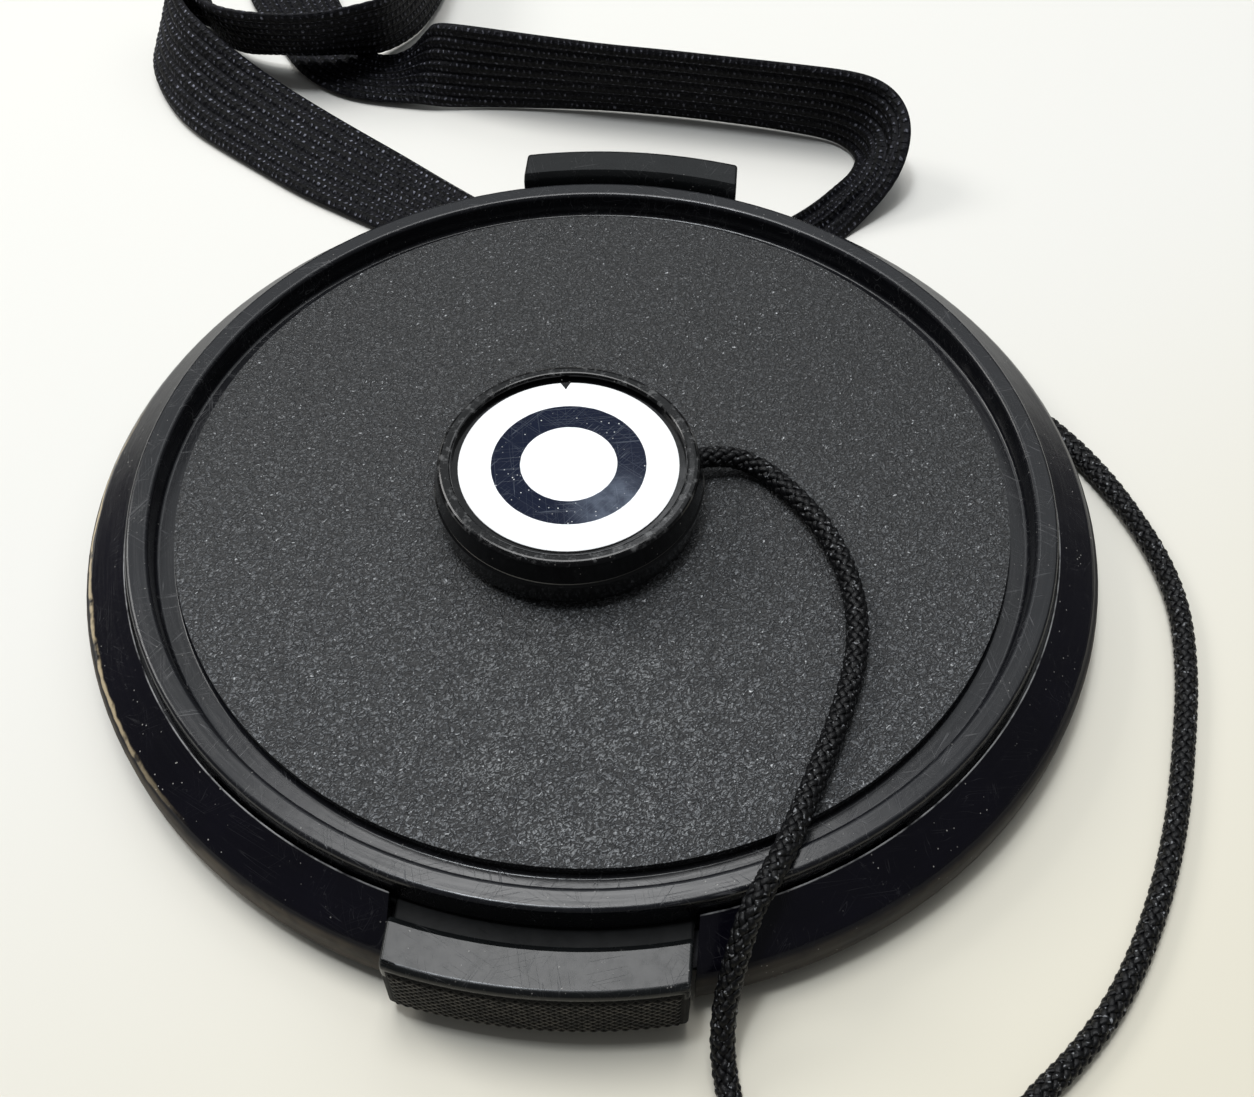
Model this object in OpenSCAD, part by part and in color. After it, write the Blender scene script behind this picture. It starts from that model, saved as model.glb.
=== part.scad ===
// Pinch-fit lens cap for a 72 mm filter thread, with a stick-on keeper: button, cord and elastic loop.
// Frame: origin on the cap's axis in the plane that seats on the lens rim, +Z out of the cap's
// face, the two finger tabs along -Y (front) and +Y (rear). The table lies at z = floor_z.

/* [Cap] */
// Outer diameter of the flange
flange_d = 77; // [76:0.5:78]
// Height of the ring's top above the lens seat
ring_top_z = 4.2; // [4:0.1:4.6]
// Diameter of the textured face disc
face_d = 62.6; // [60:0.2:62.8]
// Thickness of the textured face disc
face_t = 0.5; // [0.4:0.1:0.6]
// Depth of the skirt below the lens seat
skirt_depth = 2; // [1.6:0.1:2]

/* [Tabs and jaws] */
// Width of a finger tab
tab_w = 19.1; // [17:0.1:20]
// How far a tab slides in
tab_travel = 1.5; // [0.8:0.1:1.5]
// Outside radius of a jaw's thread ridges
ridge_r = 35.9; // [35.7:0.1:36]
// Depth of a jaw below the lens seat
jaw_depth = 2; // [1.9:0.1:2]
// Depth of the fixed ribs that guide the cap into the thread and that it stands on
rib_depth = 3.3; // [3.3:0.1:3.5]

/* [Keeper button] */
// Largest diameter of the button
button_d = 20; // [18:0.5:21]
// Height of the button above the face disc
button_h = 4.7; // [4.4:0.1:5]
// Diameter of the label
label_d = 16.2; // [15:0.1:16.4]

/* [Keeper leash] */
// Diameter of the braided cord
cord_d = 1.7; // [1.5:0.1:1.8]
// Thickness of the elastic band
band_t = 1.1; // [1:0.05:1.2]

/* [Hidden] */
$fn = 96;
eps = 0.01;
big = 200;

// Cap levels and radii
floor_z = -rib_depth;
flange_r = flange_d / 2;
skirt_in_r = 37.4;
seat_in_r = 36;
relief_z = 0.3;
web_top_z = 0.45;
rim_top_z = 0.2;
crease_r = 35.0;
crease_z = 2.8;
ring_out_r = 34.8;
ring_in_r = 32.9;
ring_base_z = 1.75;
channel_z = 2.1;
cover_under_z = 1.5;
plateau_under_z = 1.9;
face_r = face_d / 2;
face_top_z = 3.2;
floor_plate_low = -1;
floor_plate_top = -0.1;

// Tabs
gap = 0.3;
notch_w = tab_w + 2 * gap;
ledge_z = 3.7;
grip_r = 40;
grip_foot_r = 40.1;
ledge_in_r = 36.6;
tab_under_z = 0.65;
tab_skirt_in_r = 39;
neck_top_z = 1.6;
neck_in_r = 34.6;
plate_low = 0;
plate_top = 1.35;
plate_r = 34.9;
wing_w = 37;
wing_y = 28;
tongue_w = 25;
tongue_y = 17;
jaw_out_r = 35.1;
jaw_in_r = 33.6;
jaw_half_angle = 31;

// Springs
spring_x = 8.5;
spring_z = 0.75;
spring_d = 1.6;
spring_wire = 0.25;
anchor_y = 7;
pin_d = 0.9;
pin_l = 2.5;

// Screws
screw_r = 26.5;
screw_d = 1.4;
screw_head_d = 2.6;
screw_angles = [25, 155, 205, 335];

// Button
button_x = -1.6;
button_y = -1.2;
pad_t = 0.4;
base_z = face_top_z + pad_t;
seam_z = 5.9;
button_top_z = face_top_z + button_h;
rim_r = 9.65;
recess_r = 8.6;
label_floor_z = button_top_z - 0.55;
label_t = 0.12;
exit_z = 4.9;
exit_angle = 20;
rib_r = 35.2;
rib_in_r = 33.8;
rib_spans = [[-54, -40], [-10, 10], [40, 54]];

// Clamp that closes the elastic band and holds the cord's far end
clamp_x = 0;
clamp_y = 26.4;
clamp_l = 9;
clamp_w = 10.3;
clamp_h = 1.9;

// Cord route from the knot in the button, over the cap's edge, round on the table and back
// under the cap to the clamp: x, y, z and how far the cord is squashed flat (1 is round).
cord_route = [
    [5.4, 1.35, 4.9, 1], [8.4, 2.44, 4.9, 1], [10.6, 2.9, 4.5, 1], [12.6, 2.3, 4.1, 1],
    [14.8, 0.3, 4.05, 1], [17.1, -2.7, 4.05, 1], [18.9, -6.6, 4.05, 1], [19.7, -10.6, 4.05, 1],
    [19.6, -14.4, 4.05, 1], [18.7, -18.4, 4.05, 1], [17.3, -22.8, 4.1, 1], [16, -26.6, 4.4, 1],
    [15, -29.5, 5.05, 1], [14, -31.8, 5.15, 1], [13, -33.8, 4.8, 1], [12.4, -35.6, 3.5, 1],
    [12, -37.1, 1.9, 1], [11.7, -38.8, 0.1, 1], [11.8, -40.8, -1.7, 1], [12.3, -43, -2.4, 1],
    [13.6, -46.6, -2.45, 1], [16.4, -49.4, -2.45, 1], [20.4, -50.4, -2.45, 1],
    [24.6, -49.2, -2.45, 1], [28.2, -45.6, -2.45, 1], [31.1, -41.9, -2.45, 1],
    [33.7, -39.2, -2.45, 1], [36.4, -35.8, -2.45, 1], [38.8, -31.6, -2.45, 1],
    [40.9, -26.6, -2.45, 1], [42.5, -21.4, -2.45, 1], [43.8, -15.4, -2.45, 1],
    [44.8, -9.2, -2.45, 1], [45, -3.6, -2.45, 1], [44.2, 0.9, -2.45, 1], [42.6, 5.2, -2.45, 1],
    [40.6, 9.2, -2.5, 0.85], [37.9, 13.3, -2.7, 0.7], [34.6, 16.6, -2.7, 0.7],
    [30, 18.4, -2.65, 0.75], [24, 18.6, -2.45, 1], [17.5, 17.6, -2.45, 1], [11, 16, -2.45, 1],
    [6, 15.4, -2.45, 1], [2.6, 16.4, -2.45, 1], [1.5, 18.8, -2.45, 1], [1.5, 21.24, -2.45, 1]];

// Elastic band route from one side of the clamp round to the other: x, y, z of its middle, the
// angle its width leans (0 is flat) and its width there.
band_route = [
    [-1.5, 26.4, -2.35, 0, 9.4], [-4.8, 26.8, -2.35, 0, 9.4], [-8.8, 29.6, -2.7, 0, 9],
    [-13.5, 33.6, -2.75, 0, 8.8], [-19, 37.4, -2.75, 0, 8.8], [-24.8, 40.4, -2.08, 8, 8.8],
    [-29.9, 43, -1.57, 15, 8.8], [-34.4, 45.9, -1.36, 18, 8.8], [-38.6, 48.6, -1.01, 23, 8.8],
    [-42.4, 51, -0.32, 34, 8.8], [-45.8, 53.9, 0.48, 50, 8.8], [-48.2, 57, 0.78, 58, 8.8],
    [-49.5, 60.6, 0.96, 64, 8.8], [-49.9, 64, 1.15, 75, 8.8], [-48.8, 66.3, 1.19, 86, 8.8],
    [-46.9, 65.6, 1.19, 86, 8.8], [-45.6, 62.6, 1.16, 76, 8.8], [-43.4, 59.6, 1.25, 63, 8.8],
    [-40.2, 57.9, 1.8, 59, 8.8], [-36.4, 57.4, 2.05, 58, 8.8], [-32.6, 57.7, 2.1, 59, 8.8],
    [-29.4, 59.1, 1.95, 62, 8.8], [-26.7, 61.7, 1.05, 68, 8.8], [-24.7, 65.2, 1.18, 79, 8.8],
    [-23.8, 70, 1.18, 88, 8.8], [-23.4, 75.6, 1.16, 90, 8.8], [-25, 81.2, 1.16, 90, 8.8],
    [-29.2, 85, 1.16, 90, 8.8], [-35, 85.8, 1.16, 90, 8.8], [-40.4, 83.2, 1.19, 98, 8.8],
    [-42.2, 78.8, 0.85, 120, 8.8], [-40.9, 74.2, -1.08, 158, 8.8],
    [-38.4, 69.8, -2.75, 180, 8.6], [-36.2, 66, -2.75, 180, 8.2], [-34.3, 62.6, -2.75, 180, 7.8],
    [-32.2, 59.8, -2.75, 180, 7.5], [-29.6, 58.2, -2.75, 180, 7.5],
    [-26.9, 57.7, -2.69, 180, 7.5], [-24.6, 57.5, -2.05, 170, 7.5],
    [-22.6, 56.8, -0.5, 140, 7.2], [-20.6, 55.7, 0.63, 112, 7.9], [-18, 55, 1.09, 98, 8.6],
    [-14, 54.7, 1.16, 90, 8.8], [-9, 54.4, 1.19, 84, 8.8], [-4, 54.1, 1.19, 80, 8.8],
    [2, 53.7, 1.18, 79, 8.8], [8, 53.1, 1.18, 79, 8.8], [14.8, 52.2, 1.19, 81, 8.8],
    [20.2, 51.1, 1.08, 88, 8.6], [23, 48.9, 0.67, 112, 8], [23.4, 46.2, -0.27, 132, 6.4],
    [21.7, 43, -1.62, 158, 5.1], [18.9, 39.9, -2.7, 178, 4.7], [16, 36.6, -2.75, 180, 5.1],
    [12.6, 32.6, -2.75, 180, 6.6], [8.6, 29, -2.7, 180, 8.6], [4.8, 26.7, -2.35, 180, 9.4],
    [1.5, 26.4, -2.35, 180, 9.4]];

// ---- shared shapes ----

module at(angle) {
    rotate([0, 0, angle])
        children();
}

// A ring between two radii and two heights
module band(r_out, r_in, z_low, z_high) {
    translate([0, 0, z_low])
        difference() {
            cylinder(r = r_out, h = z_high - z_low);
            translate([0, 0, -1])
                cylinder(r = r_in, h = z_high - z_low + 2);
        }
}

// The part of its children within a half angle of +Y
module sector(half_angle, z_low, z_high) {
    intersection() {
        children();
        translate([0, 0, z_low])
            linear_extrude(z_high - z_low)
                polygon([[0, 0], [-big * sin(half_angle), big * cos(half_angle)],
                         [-big * sin(half_angle), 2 * big], [big * sin(half_angle), 2 * big],
                         [big * sin(half_angle), big * cos(half_angle)]]);
    }
}

// A block centred on X between two y and two z values
module block(w, y_low, y_high, z_low, z_high) {
    translate([-w / 2, y_low, z_low])
        cube([w, y_high - y_low, z_high - z_low]);
}

// Points of an arc in a profile
function arc(cx, cz, r, a0, a1, n) =
    [for (i = [0:n]) [cx + r * cos(a0 + (a1 - a0) * i / n), cz + r * sin(a0 + (a1 - a0) * i / n)]];

// ---- cap ----

// Flange section: skirt, rounded rim and slope up to the crease beside the ring
module flange_profile() {
    rim_round = 1.6;
    foot_round = 0.35;
    polygon(concat(
        [[crease_r, relief_z], [seat_in_r, relief_z], [seat_in_r, 0], [skirt_in_r, 0],
         [skirt_in_r, -skirt_depth]],
        arc(flange_r - foot_round, -skirt_depth + foot_round, foot_round, -90, 0, 4),
        arc(flange_r - rim_round, rim_top_z - 0.4, rim_round, 0, 56, 8),
        [[crease_r, crease_z]]));
}

// Screw places on the cap's floor
module at_screws() {
    for (a = screw_angles)
        at(a)
            translate([screw_r, 0, 0])
                children();
}

// Room that one tab needs in the body, tab pointing along +Y; a web of the seat stays whole
module tab_room() {
    block(notch_w, crease_r - 4, big, web_top_z, big);
    intersection() {
        block(notch_w, 33, big, -big, big);
        band(big, skirt_in_r, -skirt_depth - 1, web_top_z + 1);
    }
    sector(jaw_half_angle + 2, floor_plate_low - 1, relief_z + 1)
        band(seat_in_r - 0.02, jaw_in_r - tab_travel - gap, floor_plate_low - 1, floor_plate_top + eps);
}

// Fixed ribs that stand in the thread between the jaws and carry the cap on a table
module ribs() {
    for (s = [0, 180])
        for (r = rib_spans)
            at(s + (r[0] + r[1]) / 2 - 90)
                sector((r[1] - r[0]) / 2, floor_z - 1, 1)
                    band(rib_r, rib_in_r, floor_z, floor_plate_top - 0.1);
}

module cap_body() {
    rail_w = 1.2;
    color("#1b1b1e")
    difference() {
        union() {
            rotate_extrude()
                flange_profile();
            translate([0, 0, floor_plate_low])
                cylinder(r = crease_r + 0.3, h = floor_plate_top - floor_plate_low);
            // rim that carries the front cover between the two tabs
            for (a = [90, 270])
                at(a)
                    sector(48, -big, big)
                        band(crease_r + 0.3, rib_in_r, floor_plate_top - eps, ring_base_z - 0.05);
            ribs();
            // cross wall that the springs push against
            block(2 * spring_x + 6, -anchor_y, anchor_y, floor_plate_top - eps, plateau_under_z - 0.1);
            // rails beside each tab's tongue
            for (a = [0, 180])
                at(a)
                    for (s = [-1, 1])
                        translate([s * (tongue_w / 2 + 0.2 + rail_w / 2), 0, 0])
                            block(rail_w, tongue_y - 4, wing_y - 2, floor_plate_top - eps, 1.4);
            at_screws()
                translate([0, 0, floor_plate_top - eps])
                    cylinder(d = 3.4, h = 0.6);
        }
        for (a = [0, 180])
            at(a)
                tab_room();
        at_screws() {
            translate([0, 0, floor_plate_low - 1])
                cylinder(d = screw_d + 0.2, h = 5);
            translate([0, 0, floor_plate_low - 1])
                cylinder(d = screw_head_d + 0.3, h = 1.35);
        }
    }
}

// Ring, channel and plateau that close the cap's face
module front_cover() {
    edge = 0.35;
    boss_d = 3.2;
    color("#202023")
    difference() {
        union() {
            rotate_extrude()
                polygon(concat(
                    [[0, plateau_under_z], [30, plateau_under_z], [30, cover_under_z],
                     [32.4, cover_under_z], [32.4, ring_base_z], [ring_out_r, ring_base_z]],
                    arc(ring_out_r - 0.1 - edge, ring_top_z - edge, edge, 0, 90, 6),
                    arc(ring_in_r + 0.1 + edge, ring_top_z - edge, edge, 90, 180, 6),
                    [[ring_in_r, channel_z], [face_r, channel_z], [face_r, face_top_z - face_t],
                     [0, face_top_z - face_t]]));
            at_screws()
                translate([0, 0, floor_plate_top + 0.65])
                    cylinder(d = boss_d, h = plateau_under_z - floor_plate_top);
        }
        at_screws()
            translate([0, 0, -1])
                cylinder(d = screw_d, h = 3.3);
    }
}

module face_disc() {
    color("#333335")
    translate([0, 0, face_top_z - face_t])
        cylinder(r = face_r, h = face_t);
}

module cover_screws() {
    color("#8d8f92")
    at_screws() {
        translate([0, 0, floor_plate_low - 0.25])
            difference() {
                cylinder(d = screw_head_d, h = 0.6);
                for (a = [0, 90])
                    at(a)
                        translate([-0.8, -0.15, -eps])
                            cube([1.6, 0.3, 0.3]);
            }
        translate([0, 0, floor_plate_low + 0.3])
            cylinder(d = screw_d, h = 3);
    }
}

// ---- sliding tabs ----

// Jaw under the tab's plate, with ridges that sit in the filter thread
module jaw() {
    pitch = 0.75;
    sector(jaw_half_angle, -jaw_depth - 1, plate_top)
        union() {
            band(jaw_out_r, jaw_in_r, -jaw_depth, plate_low - eps);
            band(plate_r, jaw_in_r, -0.5, plate_low + 0.5);
            for (i = [0:1])
                translate([0, 0, -0.4 - i * pitch])
                    rotate_extrude()
                        polygon([[jaw_out_r - eps, 0], [jaw_out_r - eps, -0.74],
                                 [ridge_r, -0.44], [ridge_r, -0.3]]);
        }
}

// Raised finger ledge with its outer grip, cut to the tab's width
module finger_ledge() {
    chamfer = 0.5;
    edge = 0.5;
    intersection() {
        rotate_extrude()
            polygon(concat(
                [[ledge_in_r, tab_under_z], [tab_skirt_in_r, tab_under_z],
                 [tab_skirt_in_r, -skirt_depth + 0.1], [grip_foot_r, -skirt_depth + 0.1]],
                arc(grip_r - edge, ledge_z - edge, edge, 0, 90, 6),
                [[ledge_in_r + chamfer, ledge_z], [ledge_in_r, ledge_z - chamfer]]));
        block(tab_w, 30, 50, -skirt_depth, 10);
    }
}

// One tab pointing along +Y: ledge, neck under the ring, slide plate, spring pins and jaw
module tab() {
    finger_ledge();
    intersection() {
        block(tab_w, 30, 38, tab_under_z, neck_top_z);
        band(ledge_in_r + 0.5, neck_in_r - 0.6, -1, 5);
    }
    intersection() {
        union() {
            block(wing_w, wing_y, 35.6, plate_low, plate_top);
            block(tongue_w, tongue_y, wing_y + 1, plate_low, plate_top);
        }
        cylinder(r = plate_r, h = 5);
    }
    for (s = [-1, 1])
        translate([s * spring_x, tongue_y + eps, spring_z])
            rotate([90, 0, 0])
                cylinder(d = pin_d, h = pin_l);
    jaw();
}

module front_tab() {
    color("#26262a")
    at(180)
        tab();
}

module rear_tab() {
    color("#26262a")
    tab();
}

// Coil spring between the cross wall and a tab, drawn as its outer tube
module spring() {
    translate([0, tongue_y, spring_z])
        rotate([90, 0, 0])
            difference() {
                cylinder(d = spring_d, h = tongue_y - anchor_y);
                translate([0, 0, -1])
                    cylinder(d = spring_d - 2 * spring_wire, h = tongue_y - anchor_y + 2);
            }
}

module front_spring_left() {
    color("silver")
    mirror([0, 1, 0])
        translate([-spring_x, 0, 0])
            spring();
}

module front_spring_right() {
    color("silver")
    mirror([0, 1, 0])
        translate([spring_x, 0, 0])
            spring();
}

module rear_spring_left() {
    color("silver")
    translate([-spring_x, 0, 0])
        spring();
}

module rear_spring_right() {
    color("silver")
    translate([spring_x, 0, 0])
        spring();
}

// ---- keeper button ----

module at_button(z) {
    translate([button_x, button_y, z])
        children();
}

module adhesive_pad() {
    color("#4a4a48")
    at_button(face_top_z)
        cylinder(d = button_d - 1.2, h = pad_t);
}

// Lower half: a shallow cup with the cord's hole in its wall
module button_base() {
    wall = 1.1;
    floor_t = 0.4;
    h = seam_z - base_z;
    color("#17171a")
    at_button(base_z)
        difference() {
            rotate_extrude()
                polygon(concat(
                    [[0, 0]],
                    arc(button_d / 2 - 0.5, 0.4, 0.4, -90, 0, 4),
                    [[button_d / 2, h - 0.2], [button_d / 2 - 0.2, h], [0, h]]));
            translate([0, 0, floor_t])
                cylinder(d = button_d - 2 * wall - 0.6, h = 5);
            at(exit_angle)
                translate([5, 0, exit_z - base_z])
                    rotate([0, 90, 0])
                        cylinder(d = cord_d + 0.1, h = 8);
        }
}

// Upper half: a rim round the recess that holds the label
module button_rim() {
    lip_round = 0.45;
    h = button_top_z - seam_z;
    skin = 0.8;
    color("#141416")
    at_button(seam_z)
        difference() {
            rotate_extrude()
                polygon(concat(
                    [[0, 0], [button_d / 2 - 0.25, 0], [button_d / 2 - 0.1, 0.15]],
                    arc(rim_r - lip_round, h - lip_round, lip_round, 10, 90, 5),
                    arc(recess_r + 0.25, h - 0.25, 0.25, 90, 180, 4),
                    [[recess_r, label_floor_z - seam_z], [0, label_floor_z - seam_z]]));
            translate([0, 0, -1])
                cylinder(r = 8.2, h = 1 + label_floor_z - seam_z - skin);
        }
}

module button_label() {
    notch = 0.7;
    color("#eef0f2")
    at_button(label_floor_z)
        difference() {
            cylinder(d = label_d, h = label_t);
            at(97.5)
                translate([label_d / 2, 0, -1])
                    linear_extrude(2)
                        polygon([[-notch, 0], [0.2, -notch * 0.7], [0.2, notch * 0.7]]);
        }
}

// Knot that stops the cord inside the button
module button_knot() {
    color("#101012")
    translate([cord_route[0][0] - 1.1, cord_route[0][1] - 0.4, exit_z + 0.2])
        sphere(d = 2.1);
}

// ---- keeper leash ----

function unit(v) = v / norm(v);
function place(p) = [p[0], p[1], p[2]];
// Direction of travel at point i of a route
function along(route, i) =
    unit(place(route[min(i + 1, len(route) - 1)]) - place(route[max(i - 1, 0)]));
// Level direction to the right of travel, and the direction square to both
function right_of(t) = unit([t[1], -t[0], 0]);
function above(t) = cross(right_of(t), t);

// Section points: a cord's eight sides, squashed by s
function cord_section(p, t, s) =
    [for (k = [0:7])
        let (a = 22.5 + 45 * k, rx = cord_d / 2 * (2 - s), rz = cord_d / 2 * s)
        place(p) + right_of(t) * rx * cos(a) + above(t) * rz * sin(a)];

// Section points: a flat band of a width, with bevelled edges, leaning by an angle
function band_section(p, t, lean, w) =
    let (wide = right_of(t) * cos(lean) + above(t) * sin(lean),
         thick = above(t) * cos(lean) - right_of(t) * sin(lean),
         h = band_t / 2, e = 0.35,
         uv = [[w / 2, h - e], [w / 2 - e, h], [e - w / 2, h], [-w / 2, h - e],
               [-w / 2, e - h], [e - w / 2, -h], [w / 2 - e, -h], [w / 2, e - h]])
    [for (q = uv) place(p) + wide * q[0] + thick * q[1]];

// Closed skin over rings of eight points
module skin(rings) {
    n = len(rings);
    polyhedron(
        points = [for (r = rings) for (q = r) q],
        faces = concat(
            [[for (k = [0:7]) k]],
            [for (i = [0:n - 2]) for (k = [0:7])
                [8 * i + k, 8 * (i + 1) + k, 8 * (i + 1) + (k + 1) % 8, 8 * i + (k + 1) % 8]],
            [[for (k = [7:-1:0]) 8 * (n - 1) + k]]));
}

module cord() {
    color("#121214")
    skin([for (i = [0:len(cord_route) - 1])
        cord_section(cord_route[i], along(cord_route, i), cord_route[i][3])]);
}

module elastic_band() {
    color("#0f0f12")
    skin([for (i = [0:len(band_route) - 1])
        band_section(band_route[i], along(band_route, i), band_route[i][3], band_route[i][4])]);
}

// Folded metal clamp round the band's two ends
module band_clamp() {
    wall = 0.35;
    color("#a9abae")
    translate([clamp_x - clamp_l / 2, clamp_y - clamp_w / 2, floor_z])
        difference() {
            cube([clamp_l, clamp_w, clamp_h]);
            translate([-1, wall, wall])
                cube([clamp_l + 2, clamp_w - 2 * wall, clamp_h - 2 * wall]);
        }
}

cap_body();
front_cover();
face_disc();
cover_screws();
front_tab();
rear_tab();
front_spring_left();
front_spring_right();
rear_spring_left();
rear_spring_right();
adhesive_pad();
button_base();
button_rim();
button_label();
button_knot();
cord();
elastic_band();
band_clamp();
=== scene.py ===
"""Look of the pinch-fit lens cap and its keeper leash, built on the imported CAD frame."""
import math

import bpy
import numpy as np
from mathutils import Matrix, Vector


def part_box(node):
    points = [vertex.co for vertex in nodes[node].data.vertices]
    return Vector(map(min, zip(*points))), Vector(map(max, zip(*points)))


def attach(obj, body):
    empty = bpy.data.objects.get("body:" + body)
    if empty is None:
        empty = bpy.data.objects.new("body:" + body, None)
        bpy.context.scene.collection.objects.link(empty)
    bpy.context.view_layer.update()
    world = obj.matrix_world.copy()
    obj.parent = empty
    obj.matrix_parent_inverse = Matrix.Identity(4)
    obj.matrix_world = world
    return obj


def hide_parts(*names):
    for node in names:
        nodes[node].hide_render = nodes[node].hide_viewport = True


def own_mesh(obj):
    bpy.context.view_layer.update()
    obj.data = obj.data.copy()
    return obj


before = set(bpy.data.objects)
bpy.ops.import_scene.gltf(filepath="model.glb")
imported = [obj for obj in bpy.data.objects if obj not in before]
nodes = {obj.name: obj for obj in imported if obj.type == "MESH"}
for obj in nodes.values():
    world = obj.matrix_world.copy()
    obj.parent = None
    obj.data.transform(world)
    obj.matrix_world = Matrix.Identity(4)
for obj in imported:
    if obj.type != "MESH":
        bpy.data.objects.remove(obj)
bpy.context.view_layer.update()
MM = 0.001
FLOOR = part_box("cap_body")[0].z
scene = bpy.context.scene


# ---- camera ----

CAMERA_AT = (8.397, -72.340, 90.447)  # millimetres
CAMERA_FORWARD = (-0.045197, 0.584959, -0.809803)
CAMERA_RIGHT = (0.996951, 0.078029, 0.000720)
SENSOR, LENS = 36.0, 42.889
SHIFT = (-0.0023, 0.0345)


def make_camera():
    data = bpy.data.cameras.new("camera")
    data.sensor_width = SENSOR
    data.lens = LENS
    data.shift_x, data.shift_y = SHIFT
    data.clip_start, data.clip_end = 0.005, 20.0
    cam = bpy.data.objects.new("camera", data)
    scene.collection.objects.link(cam)
    fwd = Vector(CAMERA_FORWARD).normalized()
    up = Vector(CAMERA_RIGHT).cross(fwd).normalized()
    right = fwd.cross(up).normalized()
    rot = Matrix((right, up, -fwd)).transposed()
    cam.matrix_world = Matrix.Translation([v * MM for v in CAMERA_AT]) @ rot.to_4x4()
    scene.camera = cam


make_camera()


# ---- mesh helpers; lengths are in millimetres ----

SPAN_SAMPLES = 24  # points worked out between two points of a route


def mesh_object(name, verts, faces, smooth=True, mats=()):
    """A mesh object from points in millimetres."""
    me = bpy.data.meshes.new(name)
    points = (np.asarray(verts, float) * MM).tolist()
    me.from_pydata(points, [], [list(map(int, f)) for f in faces])
    me.validate()
    if smooth:
        me.polygons.foreach_set("use_smooth", [True] * len(me.polygons))
    ob = bpy.data.objects.new(name, me)
    for m in mats:
        me.materials.append(m)
    scene.collection.objects.link(ob)
    return ob


def store_lay(ob, values):
    """Keeps three numbers per point as the attribute that the piece's material reads."""
    lay = ob.data.attributes.new("lay", "FLOAT_VECTOR", "POINT")
    lay.data.foreach_set("vector", values.astype(np.float32).reshape(-1))


def distance_along(c):
    """Distance from the first centre point to each of them."""
    return np.r_[0, np.cumsum(np.linalg.norm(np.diff(c, axis=0), axis=1))]


def between(s, lo, hi, a, b):
    """a where s is lo, b where it is hi."""
    return (hi - s) / (hi - lo) * a + (s - lo) / (hi - lo) * b


def spline(points, step):
    """Centripetal Catmull-Rom through rows of numbers, in even steps; x, y, z come first."""
    p = np.asarray(points, float)
    ext = np.vstack([2 * p[0] - p[1], p, 2 * p[-1] - p[-2]])
    out = []
    for i in range(1, len(ext) - 2):
        a, b, c, d = ext[i - 1:i + 3]
        t = [0.0]
        for u, v in ((a, b), (b, c), (c, d)):
            t.append(t[-1] + max(np.linalg.norm((v - u)[:3]), 1e-6) ** 0.5)
        for s in np.linspace(t[1], t[2], SPAN_SAMPLES, endpoint=False):
            a1 = between(s, t[0], t[1], a, b)
            a2 = between(s, t[1], t[2], b, c)
            a3 = between(s, t[2], t[3], c, d)
            b1 = between(s, t[0], t[2], a1, a2)
            b2 = between(s, t[1], t[3], a2, a3)
            out.append(between(s, t[1], t[2], b1, b2))
    out.append(p[-1])
    out = np.array(out)
    run = distance_along(out[:, :3])
    n = max(2, int(round(run[-1] / step)))
    at = np.linspace(0, run[-1], n + 1)
    return np.column_stack([np.interp(at, run, out[:, k]) for k in range(out.shape[1])])


def smooth_rows(rows, times):
    """Rounds a sampled route a little; its first and last rows stay."""
    rows = rows.copy()
    for _ in range(times):
        rows[1:-1] = (rows[:-2] + 2 * rows[1:-1] + rows[2:]) / 4
    return rows


def frames_along(c):
    """Travel, level right-hand side and the direction square to both, for each centre point."""
    t = np.gradient(c, axis=0)
    t /= np.linalg.norm(t, axis=1)[:, None]
    side = np.column_stack([t[:, 1], -t[:, 0], np.zeros(len(t))])
    side /= np.maximum(np.linalg.norm(side, axis=1), 1e-9)[:, None]
    return t, side, np.cross(side, t)


def ring_points(lines):
    """Points of a tube ring by ring, from the lines that run along it."""
    return np.stack(lines, axis=1).reshape(-1, 3)


def tube_faces(n_rings, n_sides, base=0, cap=True):
    """Quads joining rings of n_sides points, ends closed."""
    faces = []
    for i in range(n_rings - 1):
        a, b = base + i * n_sides, base + (i + 1) * n_sides
        for k in range(n_sides):
            m = (k + 1) % n_sides
            faces.append((a + k, b + k, b + m, a + m))
    if cap:
        faces.append(tuple(base + k for k in range(n_sides)))
        last = base + (n_rings - 1) * n_sides
        faces.append(tuple(last + k for k in reversed(range(n_sides))))
    return faces


# ---- cord and elastic ----

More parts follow.
